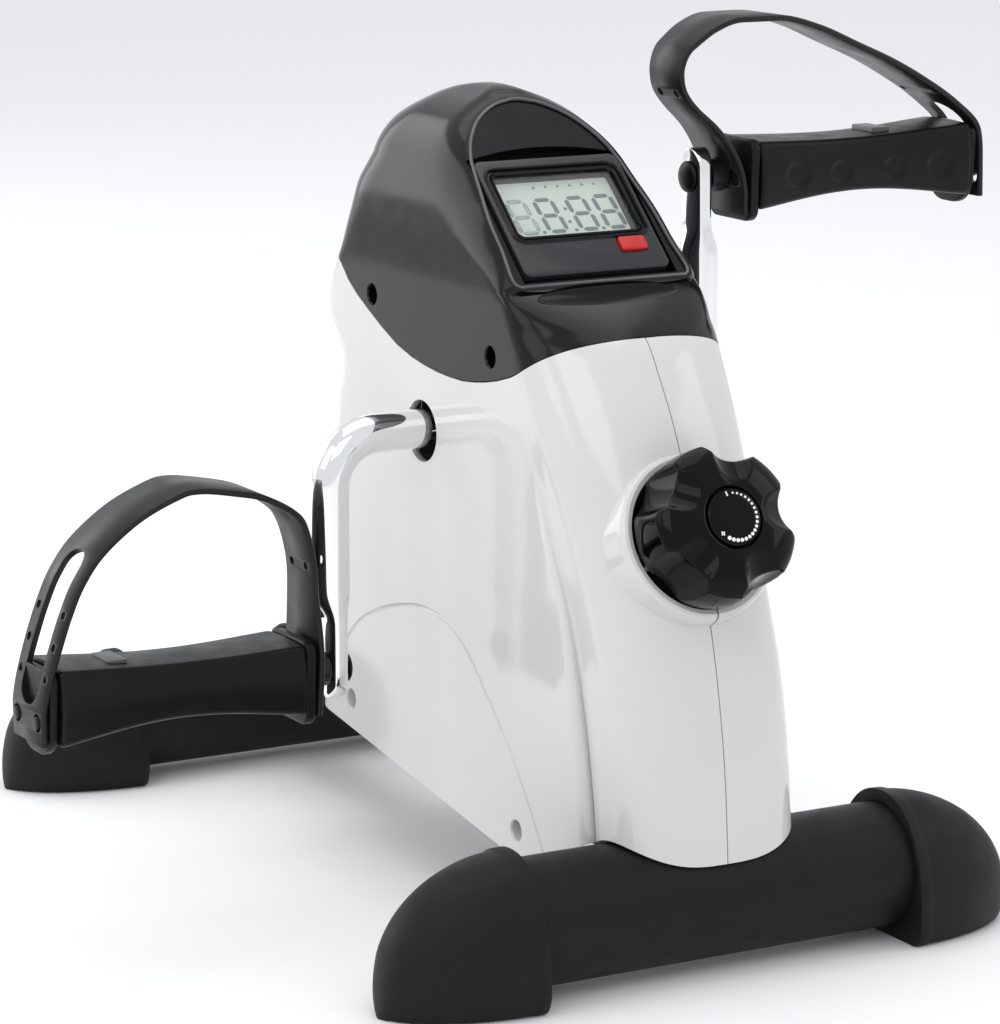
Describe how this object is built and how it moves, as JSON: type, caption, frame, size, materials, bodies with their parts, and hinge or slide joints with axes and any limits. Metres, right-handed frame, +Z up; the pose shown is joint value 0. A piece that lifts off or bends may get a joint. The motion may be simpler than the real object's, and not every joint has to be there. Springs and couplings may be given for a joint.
{
  "type": "pedal exerciser",
  "caption": "Small floor-standing pedal exerciser: tubular feet, a slim moulded housing with a tilted display and tension knob, and a strapped pedal on a crank at each side.",
  "frame": {"origin": "on the floor under the middle of the bounding box", "axes": "+X to the machine's right side as seen facing the knob, -Y towards the knob and display side, +Z up"},
  "size_m": [0.4388, 0.425, 0.3518],
  "materials": {
    "gloss_white_plastic": "gloss",
    "gloss_black_plastic": "high gloss",
    "black_powder_coat": "satin powder coat",
    "black_rubber": "matte",
    "black_pedal_plastic": "satin",
    "chrome": "polished",
    "zinc_steel": "zinc plated",
    "cast_iron": "turned",
    "brake_felt": "woven",
    "brass": "satin",
    "dark_grey_plastic": "satin",
    "lcd_glass": "matte film",
    "clear_window": "clear",
    "red_button_plastic": "satin",
    "circuit_board": "coated"
  },
  "bodies": {
    "base": {"end_cap_front_left": "black_rubber", "end_cap_front_right": "black_rubber", "end_cap_rear_left": "black_rubber", "end_cap_rear_right": "black_rubber", "front_foot_tube": "black_powder_coat", "rear_foot_tube": "black_powder_coat", "frame_beam": "black_powder_coat", "frame_plate_left": "black_powder_coat", "frame_plate_right": "black_powder_coat", "reed_sensor": "black_powder_coat", "housing_left": "gloss_white_plastic", "housing_right": "gloss_white_plastic", "top_cover": "gloss_black_plastic", "housing_screw_front_left": "zinc_steel", "housing_screw_front_right": "zinc_steel", "housing_screw_rear_left": "zinc_steel", "housing_screw_rear_right": "zinc_steel", "cover_screw_front_left": "black_powder_coat", "cover_screw_front_right": "black_powder_coat", "cover_screw_rear_left": "black_powder_coat", "cover_screw_rear_right": "black_powder_coat", "foot_bolt_front": "zinc_steel", "foot_bolt_rear": "zinc_steel", "bearing_left": "zinc_steel", "bearing_right": "zinc_steel", "band_anchor_pin": "zinc_steel", "button_cell": "zinc_steel", "brake_band": "brake_felt", "module_bezel": "dark_grey_plastic", "module_case": "dark_grey_plastic", "lcd_screen": "lcd_glass", "window_lens": "clear_window", "circuit_board": "circuit_board"},
    "crank_set": {"axle": "zinc_steel", "crank_left": "chrome", "crank_right": "chrome", "crank_pin_left": "zinc_steel", "crank_pin_right": "zinc_steel", "brake_drum": "cast_iron", "speed_magnet": "zinc_steel", "pedal_spindle_left": "zinc_steel", "pedal_spindle_right": "zinc_steel", "pedal_nut_left": "zinc_steel", "pedal_nut_right": "zinc_steel"},
    "pedal_left": {"pedal_body_left": "black_pedal_plastic", "pedal_inner_plate_left": "black_pedal_plastic", "pedal_outer_plate_left": "black_pedal_plastic", "strap_left": "black_rubber"},
    "pedal_right": {"pedal_body_right": "black_pedal_plastic", "pedal_inner_plate_right": "black_pedal_plastic", "pedal_outer_plate_right": "black_pedal_plastic", "strap_right": "black_rubber"},
    "knob": {"tension_knob": "gloss_black_plastic", "knob_cap": "gloss_black_plastic", "tension_screw": "zinc_steel"},
    "slider": {"tension_nut": "brass", "band_spring": "zinc_steel"},
    "button": {"mode_button": "red_button_plastic"}
  },
  "joints": [
    {"name": "crank_spin", "type": "hinge", "parent": "base", "child": "crank_set", "pos_m": [0, -0.037, 0.191], "axis": [1, 0, 0], "continuous": true},
    {"name": "left_pedal_spin", "type": "hinge", "parent": "crank_set", "child": "pedal_left", "pos_m": [-0.0864, -0.037, 0.0965], "axis": [1, 0, 0], "continuous": true},
    {"name": "right_pedal_spin", "type": "hinge", "parent": "crank_set", "child": "pedal_right", "pos_m": [0.0864, -0.037, 0.2855], "axis": [1, 0, 0], "continuous": true},
    {"name": "knob_turn", "type": "hinge", "parent": "base", "child": "knob", "pos_m": [0, -0.205, 0.1813], "axis": [0, -0.9026, 0.4305], "range_deg": [-720, 720]},
    {"name": "nut_slide", "type": "slide", "parent": "base", "child": "slider", "axis": [0, -0.9026, 0.4305], "range_m": [-0.002, 0.002]},
    {"name": "button_press", "type": "slide", "parent": "base", "child": "button", "axis": [0, 0.669, -0.7433], "range_m": [0, 0.0008], "stiffness_N_per_m": 300}
  ],
  "couplings": [
    {"joint": "knob_turn", "follows": "nut_slide", "rad_per_m": -6283.2}
  ]
}
